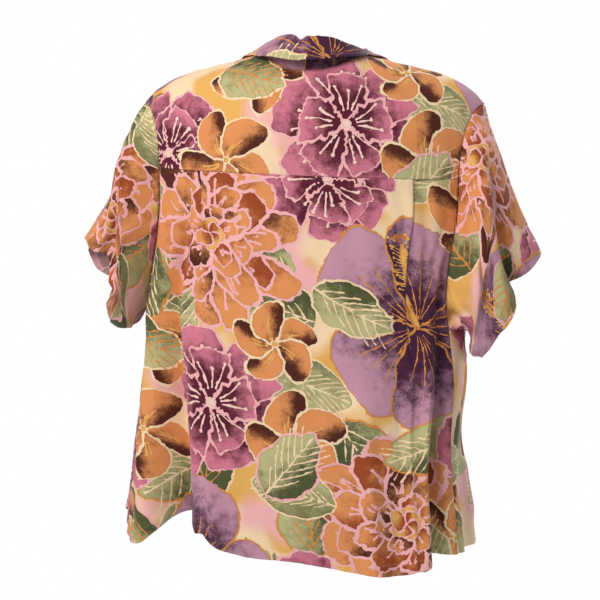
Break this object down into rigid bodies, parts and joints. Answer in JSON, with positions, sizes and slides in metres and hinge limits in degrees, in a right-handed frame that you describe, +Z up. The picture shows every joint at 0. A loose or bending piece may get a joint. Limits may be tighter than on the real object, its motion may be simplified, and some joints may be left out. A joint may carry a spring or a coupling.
{
  "type": "hawaiian shirt",
  "caption": "Short-sleeved camp shirt in a large flowered print, hollow as if worn, with an open collar, a back yoke with knife pleats, side vents and a buttoned front.",
  "frame": {"origin": "between the shoulders at the height of the shoulder line, where the wearer's shoulders carry the shirt", "axes": "+Z up, -Y out of the front, +X towards the wearer's left"},
  "size_m": [0.6194, 0.2698, 0.6899],
  "materials": {
    "cloth": "light matte woven cloth with a large flowered print",
    "button": "semi-gloss brown"
  },
  "bodies": {
    "root": {"back": "cloth", "yoke": "cloth", "front_left": "cloth", "front_right": "cloth", "sleeve_left": "cloth", "sleeve_right": "cloth", "collar": "cloth", "lapel_left": "cloth", "lapel_right": "cloth", "button_1": "button", "button_2": "button", "button_3": "button", "button_4": "button", "button_5": "button"}
  },
  "joints": []
}
